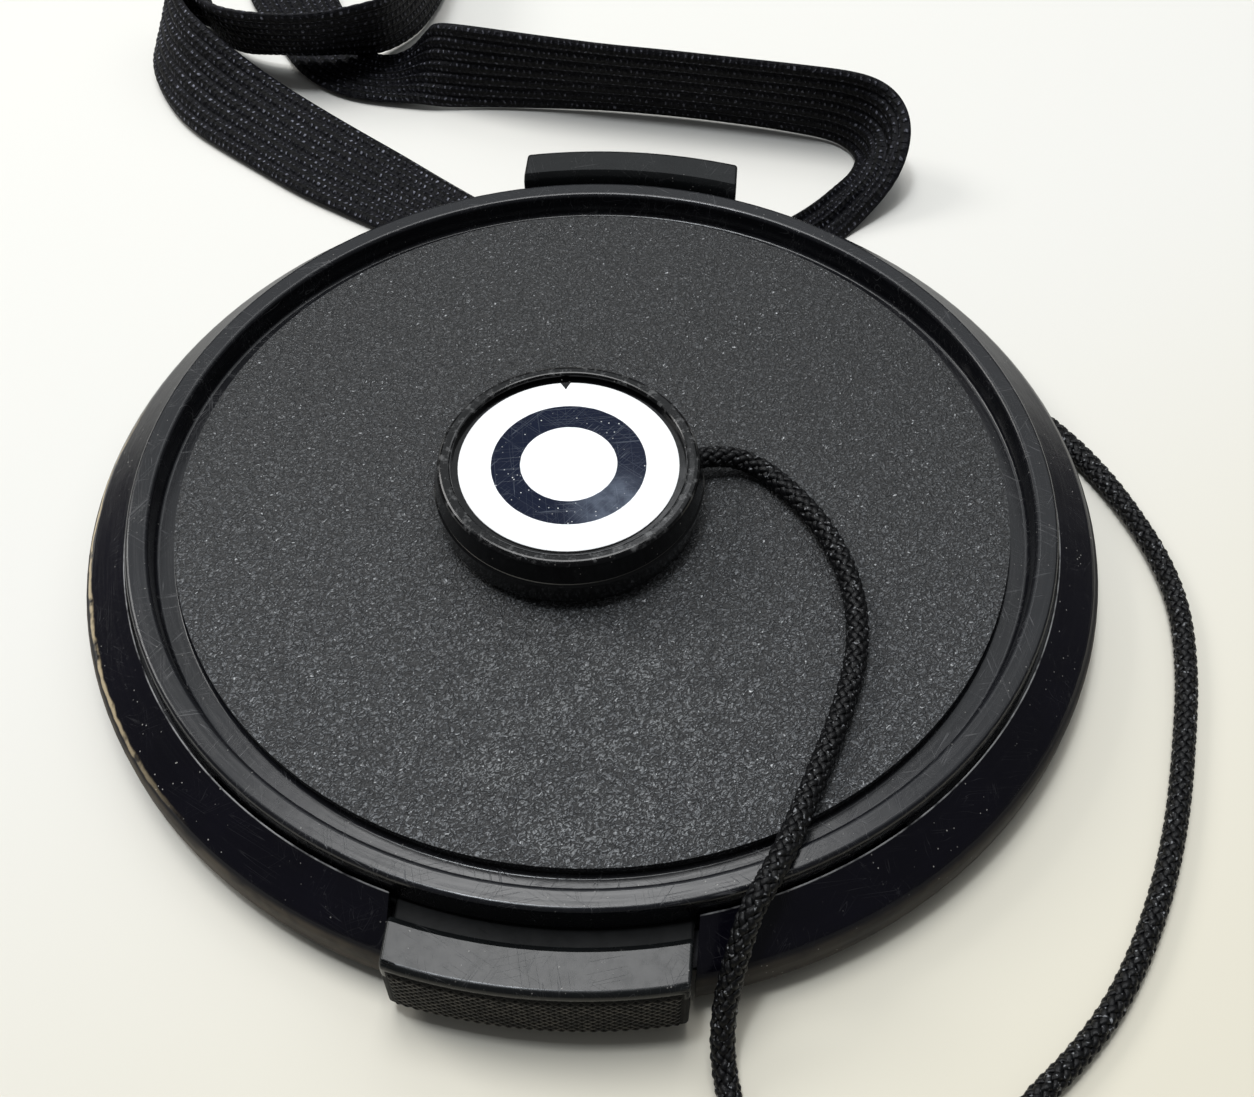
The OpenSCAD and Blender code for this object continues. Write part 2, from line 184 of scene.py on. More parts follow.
# x, y, z, and the cord's height as a share of its diameter where the cap presses it flat
CORD = [
    (5.4, 1.35, 4.9, 1), (8.4, 2.44, 4.9, 1), (10.6, 2.9, 4.5, 1), (12.6, 2.3, 4.1, 1),
    (14.8, 0.3, 4.05, 1), (17.1, -2.7, 4.05, 1), (18.9, -6.6, 4.05, 1), (19.7, -10.6, 4.05, 1),
    (19.6, -14.4, 4.05, 1), (18.7, -18.4, 4.05, 1), (17.3, -22.8, 4.1, 1), (16, -26.6, 4.4, 1),
    (15, -29.5, 5.05, 1), (14, -31.8, 5.15, 1), (13, -33.8, 4.8, 1), (12.4, -35.6, 3.5, 1),
    (12, -37.1, 1.9, 1), (11.7, -38.8, 0.1, 1), (11.8, -40.8, -1.7, 1), (12.3, -43, -2.4, 1),
    (13.6, -46.6, -2.45, 1), (16.4, -49.4, -2.45, 1), (20.4, -50.4, -2.45, 1),
    (24.6, -49.2, -2.45, 1), (28.2, -45.6, -2.45, 1), (31.1, -41.9, -2.45, 1),
    (33.7, -39.2, -2.45, 1), (36.4, -35.8, -2.45, 1), (38.8, -31.6, -2.45, 1),
    (40.9, -26.6, -2.45, 1), (42.5, -21.4, -2.45, 1), (43.8, -15.4, -2.45, 1),
    (44.8, -9.2, -2.45, 1), (45, -3.6, -2.45, 1), (44.2, 0.9, -2.45, 1), (42.6, 5.2, -2.45, 1),
    (40.6, 9.2, -2.5, 0.85), (37.9, 13.3, -2.7, 0.7), (34.6, 16.6, -2.7, 0.7),
    (30, 18.4, -2.65, 0.75), (24, 18.6, -2.45, 1), (17.5, 17.6, -2.45, 1), (11, 16, -2.45, 1),
    (6, 15.4, -2.45, 1), (2.6, 16.4, -2.45, 1), (1.5, 18.8, -2.45, 1), (1.5, 21.24, -2.45, 1)]

# x, y, z, lean in degrees (0 or 180 lies flat, 90 stands on edge) and width
BAND = [
    (-1.5, 26.4, -2.35, 0, 9.4), (-4.8, 26.8, -2.35, 0, 9.4), (-8.8, 29.6, -2.7, 0, 9),
    (-13.5, 33.6, -2.75, 0, 8.8), (-19, 37.4, -2.75, 0, 8.8), (-24.8, 40.4, -2.08, 8, 8.8),
    (-29.9, 43, -1.57, 15, 8.8), (-34.4, 45.9, -1.36, 18, 8.8), (-38.6, 48.6, -1.01, 23, 8.8),
    (-42.4, 51, -0.32, 34, 8.8), (-45.8, 53.9, 0.48, 50, 8.8), (-48.2, 57, 0.78, 58, 8.8),
    (-49.5, 60.6, 0.96, 64, 8.8), (-49.9, 64, 1.15, 75, 8.8), (-48.8, 66.3, 1.19, 86, 8.8),
    (-46.9, 65.6, 1.19, 86, 8.8), (-45.6, 62.6, 1.16, 76, 8.8), (-43.4, 59.6, 1.25, 63, 8.8),
    (-40.2, 57.9, 1.8, 59, 8.8), (-36.4, 57.4, 2.05, 58, 8.8), (-32.6, 57.7, 2.1, 59, 8.8),
    (-29.4, 59.1, 1.95, 62, 8.8), (-26.7, 61.7, 1.05, 68, 8.8), (-24.7, 65.2, 1.18, 79, 8.8),
    (-23.8, 70, 1.18, 88, 8.8), (-23.4, 75.6, 1.16, 90, 8.8), (-25, 81.2, 1.16, 90, 8.8),
    (-29.2, 85, 1.16, 90, 8.8), (-35, 85.8, 1.16, 90, 8.8), (-40.4, 83.2, 1.19, 98, 8.8),
    (-42.2, 78.8, 0.85, 120, 8.8), (-40.9, 74.2, -1.08, 158, 8.8),
    (-38.4, 69.8, -2.75, 180, 8.6), (-36.2, 66, -2.75, 180, 8.2), (-34.3, 62.6, -2.75, 180, 7.8),
    (-32.2, 59.8, -2.75, 180, 7.5), (-29.6, 58.2, -2.75, 180, 7.5),
    (-26.9, 57.7, -2.69, 180, 7.5), (-24.6, 57.5, -2.05, 170, 7.5),
    (-22.6, 56.8, -0.5, 140, 7.2), (-20.6, 55.7, 0.63, 112, 7.9), (-18, 55, 1.09, 98, 8.6),
    (-14, 54.7, 1.16, 90, 8.8), (-9, 54.4, 1.19, 84, 8.8), (-4, 54.1, 1.19, 80, 8.8),
    (2, 53.7, 1.18, 79, 8.8), (8, 53.1, 1.18, 79, 8.8), (14.8, 52.2, 1.19, 81, 8.8),
    (20.2, 51.1, 1.08, 88, 8.6), (23, 48.9, 0.67, 112, 8), (23.4, 46.2, -0.27, 132, 6.4),
    (21.7, 43, -1.62, 158, 5.1), (18.9, 39.9, -2.7, 178, 4.7), (16, 36.6, -2.75, 180, 5.1),
    (12.6, 32.6, -2.75, 180, 6.6), (8.6, 29, -2.7, 180, 8.6), (4.8, 26.7, -2.35, 180, 9.4),
    (1.5, 26.4, -2.35, 180, 9.4)]

BRAID_STRANDS = 6  # strands each way
BRAID_LEAD = 6.0  # length of one turn of a strand
BRAID_R, BRAID_WAVE = 0.6, 0.1  # a strand's distance from the centre, and its rise and fall
STRAND_HALF = (0.27, 0.15)  # half a strand's width and thickness
CORE_R = 0.5

BAND_T = 1.1
BAND_W = 8.8  # its width where nothing gathers it
BAND_RIBS = 7
BAND_SIDE_POINTS = 43
BAND_LAY = 9.5  # the elastic's width as its material counts it, gathered or not
BAND_LOWEST = -3.29  # just above the floor
STITCH = 0.95  # length of a stitch in the mesh
STITCH_SLANT = 2.4  # how far a stitch lags from one rib to the next, in radians
PUCKERS, PUCKER_DEPTH = 2.5, 0.42  # folds across the elastic where it is gathered


def make_cord():
    """Round braid: six strands each way, over one and under one, round a plain core."""
    rows = smooth_rows(spline(CORD, 0.16), 20)
    c, flat = rows[:, :3], rows[:, 3]
    at = distance_along(c)
    t, side, up = frames_along(c)
    n_in, n_core = 7, 8
    turn = 2 * math.pi * at / BRAID_LEAD
    crossings = BRAID_STRANDS * turn / math.pi
    verts, faces = [], []
    for way in (1, -1):
        pitch = math.atan2(2 * math.pi * BRAID_R, BRAID_LEAD) * way
        r = BRAID_R + way * BRAID_WAVE * np.cos(math.pi * crossings)
        for i in range(BRAID_STRANDS):
            ang = 2 * math.pi * i / BRAID_STRANDS + way * turn
            radial = side * (np.cos(ang) * (2 - flat))[:, None] + up * (np.sin(ang) * flat)[:, None]
            tang = -side * np.sin(ang)[:, None] + up * np.cos(ang)[:, None]
            wide = tang * math.cos(pitch) - t * math.sin(pitch)
            mid = c + radial * r[:, None]
            base = len(verts)
            lines = []
            for k in range(n_in):
                a = 2 * math.pi * k / n_in
                lines.append(mid + wide * (STRAND_HALF[0] * math.cos(a))
                             + radial * (STRAND_HALF[1] * math.sin(a)))
            verts.extend(ring_points(lines))
            faces.extend(tube_faces(len(c), n_in, base))
    core = [c + (side * math.cos(a) + up * math.sin(a)) * CORE_R
            for a in np.arange(n_core) * math.pi / 4]
    base = len(verts)
    verts.extend(ring_points(core))
    faces.extend(tube_faces(len(c), n_core, base))
    return mesh_object("braided_cord", verts, faces), c, at[-1]


def band_section():
    """Unit section of the elastic: (across -0.5..0.5, through -1..1, how high on a rib)."""
    pts = []
    for way in (1, -1):
        for k in range(BAND_SIDE_POINTS):
            u = (k / (BAND_SIDE_POINTS - 1) - 0.5) * way
            edge = 1 - abs(2 * u) ** 14
            rib = abs(math.sin(math.pi * BAND_RIBS * (u + 0.5)))
            pts.append((-u, way * (0.4 + 0.6 * rib ** 0.55) * max(edge, 0.15), rib))
    return pts


def make_band():
    """Ribbed elastic with stitches, puckered where its right-hand fold gathers it."""
    rows = smooth_rows(spline(BAND, 0.2), 96)
    c, lean, width = rows[:, :3], np.radians(rows[:, 3]), rows[:, 4]
    at = distance_along(c)
    _, side, up = frames_along(c)
    wide = side * np.cos(lean)[:, None] + up * np.sin(lean)[:, None]
    thick = up * np.cos(lean)[:, None] - side * np.sin(lean)[:, None]
    sec = band_section()
    bunch = np.clip((BAND_W - width) / 2.8, 0, 1) * np.clip((c[:, 0] - 6) / 6, 0, 1)
    lines = []
    for u, v, rib in sec:
        slant = STITCH_SLANT * (u % (1 / BAND_RIBS)) * BAND_RIBS
        stitch = np.abs(np.sin(math.pi * at / STITCH + slant))
        fold = bunch * PUCKER_DEPTH * np.sin(2 * math.pi * PUCKERS * u + 0.3 * np.sin(at))
        h = BAND_T / 2 * v * (0.84 + 0.16 * stitch * rib)
        lines.append(c + wide * (u * width)[:, None] + thick * (h + fold)[:, None])
    verts = ring_points(lines)
    verts[:, 2] = np.maximum(verts[:, 2], BAND_LOWEST)
    n = len(sec)
    ob = mesh_object("ribbed_elastic", verts, tube_faces(len(c), n))
    lay = np.zeros((len(c), n, 3))
    lay[:, :, 0] = at[:, None]
    lay[:, :, 1] = np.array([s[0] for s in sec])[None] * BAND_LAY
    store_lay(ob, lay)
    return ob, c, at[-1]


cord, cord_path, cord_len = make_cord()
band, band_path, band_len = make_band()
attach(cord, "cap")
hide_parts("cord")
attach(band, "cap")
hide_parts("elastic_band")


# ---- tabs' grips, springs and knot ----

GRIP_R = 39.9  # radius at which the grip's arc lengths are counted
GRIP_HALF = 9.15  # half its length round the cap
GRIP_LOW, GRIP_HIGH = -1.65, 3.1
GRIP_PITCH, GRIP_SLOPE = 0.66, 1.15  # of the diamonds
GRIP_PROUD, GRIP_RIDGE = 0.01, 0.17  # how far the pits and the ridges stand off the tab
TAB_R, TAB_TAPER, TAB_LOW, TAB_TALL = 40.1, 0.1, -1.9, 5.1  # the tab's own outer wall

SPRING_TURNS, SPRING_R, WIRE_R = 9.0, 0.66, 0.14
SPRING_START, SPRING_LEN, SPRING_Z = 7, 10, 0.75
SPRING_X = 8.5

KNOT_SIZE = (0.24, 0.24, 0.3)
KNOT_CORD_R = 0.32


def make_grip(name, turn, body):
    """Cross-cut grip on a tab's outer face: a grid of diamonds, 0.66 mm apart."""
    half = math.asin(GRIP_HALF / GRIP_R)
    nu, nv = 420, 110
    u = np.linspace(-half, half, nu)
    z = np.linspace(GRIP_LOW, GRIP_HIGH, nv)
    uu, zz = np.meshgrid(u, z, indexing="ij")
    wall = TAB_R - TAB_TAPER * (zz - TAB_LOW) / TAB_TALL
    s = uu * GRIP_R
    a, b = (s + zz * GRIP_SLOPE) / GRIP_PITCH, (s - zz * GRIP_SLOPE) / GRIP_PITCH
    ridge = 1 - np.minimum(1 - np.abs(a % 1 - 0.5) * 2, 1 - np.abs(b % 1 - 0.5) * 2)
    fade = np.clip((GRIP_HALF - np.abs(s)) / 0.25, 0, 1) * np.clip((GRIP_HIGH - zz) / 0.3, 0, 1)
    fade = fade * np.clip((zz - GRIP_LOW) / 0.25, 0, 1)
    tall = np.clip((ridge - 0.25) / 0.6, 0, 1) ** 0.7 * fade
    r = wall + GRIP_PROUD + GRIP_RIDGE * tall
    verts = np.stack([r * np.sin(uu), r * np.cos(uu), zz], axis=-1).reshape(-1, 3)
    if turn:
        verts[:, :2] *= -1
    faces = [(q, q + 1, q + nv + 1, q + nv)
             for i in range(nu - 1) for q in range(i * nv, i * nv + nv - 1)]
    ob = mesh_object(name, verts, faces, smooth=False)
    lay = np.zeros((len(verts), 3))
    lay[:, 0] = tall.reshape(-1)
    store_lay(ob, lay)
    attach(ob, body)
    return ob


def make_spring(name, x, way):
    """Coil from the cross wall to the tab, both end coils closed."""
    s = np.linspace(0, 1, 460)
    ang = 2 * math.pi * SPRING_TURNS * s
    run = np.interp(s, [0, 0.1, 0.9, 1], [0.0, 0.035, 0.965, 1.0])
    y = way * (SPRING_START + WIRE_R + run * (SPRING_LEN - 2 * WIRE_R))
    c = np.column_stack([x + SPRING_R * np.cos(ang), y, SPRING_Z + SPRING_R * np.sin(ang)])
    t = np.gradient(c, axis=0)
    t /= np.linalg.norm(t, axis=1)[:, None]
    out = np.column_stack([np.cos(ang), 0 * ang, np.sin(ang)])
    third = np.cross(t, out)
    n = 8
    lines = [c + WIRE_R * (out * math.cos(a) + third * math.sin(a))
             for a in np.arange(n) * 2 * math.pi / n]
    ob = mesh_object(name + "_coil", ring_points(lines), tube_faces(len(c), n))
    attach(ob, "cap")
    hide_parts(name)
    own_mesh(ob)
    return ob


def make_knot():
    """The cord's end inside the button: a small trefoil knot."""
    lo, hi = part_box("button_knot")
    mid = (np.array(lo) + np.array(hi)) / 2 / MM
    s = np.linspace(0, 2 * math.pi, 241)[:-1]
    c = np.column_stack([np.sin(s) + 2 * np.sin(2 * s), np.cos(s) - 2 * np.cos(2 * s),
                         -np.sin(3 * s)])
    c = c * np.array(KNOT_SIZE) + mid
    t = np.roll(c, -1, 0) - np.roll(c, 1, 0)
    t /= np.linalg.norm(t, axis=1)[:, None]
    a = np.cross(t, [0.0, 0.0, 1.0])
    a /= np.linalg.norm(a, axis=1)[:, None]
    b = np.cross(a, t)
    n = 10
    lines = [c + KNOT_CORD_R * (a * math.cos(q) + b * math.sin(q))
             for q in np.arange(n) * 2 * math.pi / n]
    last = (len(c) - 1) * n
    faces = tube_faces(len(c), n, cap=False)
    faces += [(i + last, i, (i + 1) % n, (i + 1) % n + last) for i in range(n)]
    ob = mesh_object("cord_knot", ring_points(lines), faces)
    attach(ob, "cap")
    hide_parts("button_knot")
    return ob


grips = [make_grip("front_grip", True, "front_tab"), make_grip("rear_grip", False, "rear_tab")]
springs = [make_spring(end + "_spring_" + hand, x, way)
           for end, way in (("front", -1), ("rear", 1))
           for hand, x in (("left", -SPRING_X), ("right", SPRING_X))]
knot = make_knot()


# ---- materials ----

class Nodes:
    """Short way to build a material's nodes. Lengths in them are in millimetres."""

    def __init__(self, name):
        self.mat = bpy.data.materials.new(name)
        self.mat.use_nodes = True
        self.tree = self.mat.node_tree
        self.bsdf = self.tree.nodes["Principled BSDF"]
        coord = self.tree.nodes.new("ShaderNodeTexCoord")
        self.mm = self.vec("SCALE", coord.outputs["Object"], scale=1000.0)
        self.heights = []

    def new(self, kind, **settings):
        n = self.tree.nodes.new(kind)
        for k, v in settings.items():
            setattr(n, k, v)
        return n

    def put(self, value, socket):
        """Links an output to the socket, or sets a number or colour on it."""
        if hasattr(value, "is_output"):
            self.tree.links.new(value, socket)
        elif value is not None:
            socket.default_value = value

    def vec(self, op, a, b=None, scale=None):
        n = self.new("ShaderNodeVectorMath", operation=op)
        self.put(a, n.inputs[0])
        if b is not None:
            self.put(b, n.inputs[1])
        if scale is not None:
            self.put(scale, n.inputs["Scale"])
        return n.outputs["Value" if op == "DISTANCE" else "Vector"]

    def math(self, op, a, b=None, clamp=False):
        n = self.new("ShaderNodeMath", operation=op, use_clamp=clamp)
        for v, s in zip((a, b), n.inputs):
            self.put(v, s)
        return n.outputs[0]

    def times(self, first, *rest):
        for value in rest:
            first = self.math("MULTIPLY", first, value)
        return first

    def apart(self, a, b):
        """How far two numbers are apart."""
        return self.math("ABSOLUTE", self.math("SUBTRACT", a, b))

    def sway(self, noise, size):
        """A noise brought to swing about 0."""
        return self.times(self.math("SUBTRACT", noise, 0.5), size)

    def radius(self, x, y):
        return self.math("SQRT", self.math("ADD", self.times(x, x), self.times(y, y)))

    def split(self, vector):
        n = self.new("ShaderNodeSeparateXYZ")
        self.put(vector, n.inputs[0])
        return n.outputs

    def combine(self, x, y, z):
        n = self.new("ShaderNodeCombineXYZ")
        for v, s in zip((x, y, z), n.inputs):
            self.put(v, s)
        return n.outputs[0]

    def lay(self):
        """The piece's stored attribute: where a point lies on it, or how high on the grip."""
        return self.new("ShaderNodeAttribute", attribute_name="lay").outputs["Vector"]

    def turned(self, degrees):
        """The place turned about the cap's axis."""
        n = self.new("ShaderNodeVectorRotate", rotation_type="Z_AXIS")
        self.put(self.mm, n.inputs["Vector"])
        n.inputs["Angle"].default_value = math.radians(degrees)
        return n.outputs[0]

    def noise(self, scale, detail=3.0, rough=0.55, at=None, distort=0.0):
        n = self.new("ShaderNodeTexNoise")
        self.put(at or self.mm, n.inputs["Vector"])
        for k, v in (("Scale", scale), ("Detail", detail), ("Roughness", rough),
                     ("Distortion", distort)):
            n.inputs[k].default_value = v
        return n.outputs["Fac"]

    def voronoi(self, scale, at=None, out="Distance"):
        n = self.new("ShaderNodeTexVoronoi", feature="F1")
        self.put(at or self.mm, n.inputs["Vector"])
        n.inputs["Scale"].default_value = scale
        n.inputs["Randomness"].default_value = 1.0
        return n.outputs[out]

    def ramp(self, fac, *stops):
        """Colour ramp with two stops, each a place and a colour."""
        n = self.new("ShaderNodeValToRGB")
        for el, (pos, col) in zip(n.color_ramp.elements, stops):
            el.position = pos
            el.color = (*col, 1.0)
        self.put(fac, n.inputs[0])
        return n.outputs["Color"]

    def grade(self, fac, lo, hi, out_lo=0.0, out_hi=1.0, smooth=True):
        """out_lo where fac is lo, out_hi where it is hi, and held beyond them."""
        kind = "SMOOTHSTEP" if smooth else "LINEAR"
        n = self.new("ShaderNodeMapRange", interpolation_type=kind)
        for v, k in ((fac, "Value"), (lo, "From Min"), (hi, "From Max"),
                     (out_lo, "To Min"), (out_hi, "To Max")):
            self.put(v, n.inputs[k])
        return n.outputs[0]

    def mix(self, fac, a, b):
        n = self.new("ShaderNodeMix", data_type="RGBA", blend_type="MIX")
        self.put(fac, n.inputs[0])
        self.put((*a, 1.0) if isinstance(a, tuple) else a, n.inputs[6])
        self.put((*b, 1.0) if isinstance(b, tuple) else b, n.inputs[7])
        return n.outputs[2]

    def bump(self, height, depth_mm):
        self.heights.append((height, depth_mm))

    def polar(self):
        """x, y, z, and radius and angle about the cap's axis."""
        x, y, z = self.split(self.mm)
        return x, y, z, self.radius(x, y), self.math("ARCTAN2", y, x)

    def scratches(self, density, seed, thin):
        """Fine straight hairlines in several directions, 0..1."""
        total = None
        for i, deg in enumerate((12, 58, 101, 146)):
            stretch = self.vec("MULTIPLY", self.turned(deg + seed * 17), (0.035, 2.1, 0.5))
            shift = self.vec("ADD", stretch, (seed * 3.1 + i * 7.3, i * 2.7, seed))
            line = self.apart(self.noise(1.0, 1.0, 0.4, at=shift, distort=0.15), 0.5)
            line = self.grade(line, thin * 0.25, 0.0, smooth=False)
            where = self.vec("ADD", self.mm, (i * 11.0, seed * 5, 3.0))
            gate = self.grade(self.noise(0.33, 1.0, 0.5, at=where), 1 - density, 1 - density + 0.12)
            line = self.times(line, gate)
            total = line if total is None else self.math("MAXIMUM", total, line)
        return total

    def finish(self, color, rough, **sockets):
        """Fills the shader; sockets are its other inputs, with _ for each space."""
        self.put((*color, 1.0) if isinstance(color, tuple) else color,
                 self.bsdf.inputs["Base Color"])
        self.put(rough, self.bsdf.inputs["Roughness"])
        for k, v in sockets.items():
            self.bsdf.inputs[k.replace("_", " ")].default_value = v
        last = None
        for height, depth in self.heights:
            n = self.new("ShaderNodeBump")
            n.inputs["Strength"].default_value = 1.0
            n.inputs["Distance"].default_value = depth * MM
            self.put(height, n.inputs["Height"])
            self.put(last, n.inputs["Normal"])
            last = n.outputs["Normal"]
        if last is not None:
            self.put(last, self.bsdf.inputs["Normal"])
        return self.mat


CREASE_R = 35.02  # crease between the flange's slope and the ring
WALL_R = 38.15  # the flange's outer wall starts here
LIP_Z = 0.95  # edge between the slope and the wall
TAB_BLACK = (0.004, 0.0045, 0.0048)
LEDGE_Z = 2.4  # below this a tab faces outwards, is dull, and is painted darker as shade
SEAM_Z = 5.9  # between the button's halves


def body_wear_and_light(n, place, color, roughness):
    """Crease partly abraded pale and partly a painted highlight, low outer wall partly soiled and
    partly a painted floor reflection, a painted tan highlight at the left on the edge between slope
    and wall, dull tab recesses.
    """
    x, y, z, r = place
    # Pale line along the crease: partly abrasion and partly a painted highlight on its edge.
    crease_wear_and_highlight = n.times(n.grade(n.apart(r, CREASE_R), 0.09, 0.02), n.grade(z, 2.5, 2.75),
                   n.grade(n.noise(0.45, 3.0, 0.7), 0.3, 0.62))
    color = n.mix(n.times(crease_wear_and_highlight, 0.7), color, (0.42, 0.42, 0.42))
    # Brown-tan low on the outer wall, strongest at the left: partly soiling and partly a painted
    # reflection of the lit floor.
    grime_and_reflection = n.times(n.grade(z, 1.0, 0.4), n.grade(r, WALL_R, 38.4),
                    n.grade(n.noise(0.3, 3.0, 0.6), 0.25, 0.6),
                    n.grade(x, 10.0, -30.0, 0.25, 0.7))
    color = n.mix(grime_and_reflection, color, (0.1, 0.08, 0.056))
    # Painted highlight: a ragged tan line on the left, along the edge between slope and wall.
    ragged = n.math("ADD", z, n.sway(n.noise(0.25, 3.0, 0.6), 0.7))
    lip_highlight = n.times(n.grade(n.apart(ragged, LIP_Z), 0.17, 0.05),
                  n.grade(n.noise(0.5, 3.0, 0.7), 0.3, 0.55), n.grade(r, 37.3, 37.7),
                  n.times(n.grade(x, -24.0, -33.0), n.grade(y, 10.0, -2.0)))
    color = n.mix(lip_highlight, color, (0.4, 0.32, 0.2))
    recess = n.times(n.grade(z, 1.0, 0.7), n.grade(r, 39.2, 38.9))
    return color, n.math("ADD", roughness, n.times(recess, 0.5), clamp=True)


def tab_painted_shade(n, place, color, roughness):
    """Painted shade: darker below the ledge, where the tab's neck lies in shade, and duller there.
    """
    low = n.grade(place[2], LEDGE_Z, LEDGE_Z - 0.2)
    color = n.mix(low, color, tuple(c * 0.45 for c in TAB_BLACK))
    return color, n.math("ADD", roughness, n.times(low, 0.5), clamp=True)


def button_wear_and_highlight(n, place, color, roughness):
    """Painted highlight along the join between the halves, brightest at the left, and a scuffed top
    edge.
    """
    x, _, z, _ = place
    # Painted highlight: a pale line along the join between the halves, stronger towards the left.
    seam_highlight = n.grade(n.apart(z, SEAM_Z), 0.055, 0.03)
    seam_highlight = n.times(seam_highlight, n.grade(x, 4.0, -5.0, 0.12, 0.95))
    color = n.mix(seam_highlight, color, (0.5, 0.48, 0.43))
    high = n.times(n.grade(z, 7.55, 7.85), n.grade(n.noise(1.4, 4.0, 0.7), 0.5, 0.68))
    return n.mix(n.times(high, 0.45), color, (0.16, 0.16, 0.16)), roughness


def plastic(name, base, rough, marks, shine, dust=0.5, streaks=True, piece_paint=None):
    """Moulded black plastic with hairline scratches, scuffed patches of differing gloss and dust.

    marks and dust are how strongly scratches and specks show. With streaks, the rubbing runs
    round the cap. The last argument adds what only one piece has: its abrasion and soiling, and its
    painted light and shade.
    """
    n = Nodes(name)
    x, y, z, r, ang = n.polar()
    lines = n.scratches(0.5, seed=1.0, thin=0.022)
    if streaks:
        arc = n.combine(n.times(ang, 6.0), n.times(r, 5.0), n.times(z, 3.0))
        rub, spread = n.noise(1.0, 4.0, 0.6, at=arc), (0.8, 1.3)
    else:
        rub, spread = n.noise(0.9, 4.0, 0.65), (0.88, 1.15)
    specks = n.times(n.grade(n.voronoi(1.7), 0.11, 0.05), n.grade(n.noise(0.3, 1.0), 0.42, 0.62))
    color = n.ramp(n.noise(0.12, 3.0, 0.6), (0.35, base), (0.7, tuple(c * 1.6 for c in base)))
    color = n.mix(n.times(lines, marks), color, (0.13, 0.13, 0.135))
    color = n.mix(n.times(specks, dust), color, (0.3, 0.29, 0.27))
    roughness = n.grade(rub, 0.35, 0.75, rough * spread[0], rough * spread[1])
    roughness = n.math("ADD", roughness, n.times(lines, marks), clamp=True)
    if piece_paint:
        color, roughness = piece_paint(n, (x, y, z, r), color, roughness)
    n.bump(n.times(lines, -1.0), 0.012 * marks)
    n.bump(rub, 0.0025)
    n.bump(n.noise(0.35, 2.0), 0.02)
    return n.finish(color, roughness, Specular_IOR_Level=shine)


def diamonds():
    """Grip skin: pits painted near-black as shade between slightly shiny ridges, and painted
    highlights in patches on the ridge tops.
    """
    n = Nodes("grip_plastic")
    height = n.split(n.lay())[0]
    ridge_highlight = n.grade(n.noise(1.4, 3.0, 0.65), 0.4, 0.65)
    # Painted shade in the pits and painted highlights on the ridge tops.
    color = n.mix(n.grade(height, 0.3, 0.95), (0.0005, 0.0005, 0.0004), (0.0035, 0.003, 0.0025))
    color = n.mix(n.times(n.grade(height, 0.75, 1.0), ridge_highlight), color, (0.06, 0.054, 0.045))
    n.bump(n.noise(5.0, 2.0), 0.006)
    return n.finish(color, n.grade(height, 0.2, 1.0, 0.7, 0.36), Specular_IOR_Level=0.15)


GRAIN = 6.3  # grains in a millimetre
SHEEN_AT = (2.0, -23.0, 3.2)  # middle of the disc's painted highlight patch


def grained():
    """Face disc: fine leathery grain with paler tips, partly own tone and partly painted light,
    painted brighter towards the near side, a painted highlight patch in front of the button, and
    painted glints.
    """
    n = Nodes("face_grain")
    y = n.split(n.mm)[1]
    flow = n.vec("MULTIPLY", n.turned(-40), (0.8, 1.15, 1.0))
    warp = n.vec("SCALE", n.combine(n.noise(1.6, 2.0), n.noise(1.9, 2.0), 0.0), scale=0.7)
    flow = n.vec("ADD", flow, warp)
    cells = n.voronoi(GRAIN, at=flow)
    each = n.new("ShaderNodeSeparateColor")
    n.put(n.voronoi(GRAIN, at=flow, out="Color"), each.inputs[0])
    bright, glint, _ = each.outputs
    height = n.math("ADD", n.math("SUBTRACT", 0.6, cells), n.sway(n.noise(7.0, 2.0, 0.6), 0.9))
    # Grain tips paler than the valleys: partly the grain's own tone and partly painted light and
    # shade on its relief.
    tips = n.grade(height, 0.02, 0.32)
    pale = n.times(tips, n.grade(bright, 0.0, 1.0, 0.25, 1.0, smooth=False))
    color = n.mix(pale, (0.003, 0.0032, 0.0036), (0.07, 0.073, 0.077))
    # Painted light: the grain brightened towards the near side, to almost twice, as the overhead
    # light's reflection there.
    color = n.vec("SCALE", color, scale=n.grade(y, 20.0, -32.0, 0.8, 1.95))
    # Painted highlight: a pale patch on the grain tips in front of the button.
    sheen_patch = n.times(n.grade(n.vec("DISTANCE", n.mm, SHEEN_AT), 17.0, 2.0),
                     n.grade(n.noise(0.35, 4.0, 0.7), 0.42, 0.66))
    color = n.mix(n.times(sheen_patch, tips, 0.35), color, (0.32, 0.33, 0.33))
    # Painted glints on the highest grain tips.
    spark = n.times(n.grade(glint, 0.93, 0.98), n.grade(height, 0.28, 0.42))
    color = n.mix(n.times(spark, 0.8), color, (0.55, 0.56, 0.57))
    n.bump(height, 0.1)
    return n.finish(color, n.grade(tips, 0.0, 1.0, 0.6, 0.3), Specular_IOR_Level=0.6)


RING_R = ((3.52, 3.58), (5.73, 5.67))  # the label's dark ring: its inner and its outer edge
GLARE_AT = (3.6, -3.6, 7.2)  # middle of the painted glare patch, from the label's middle


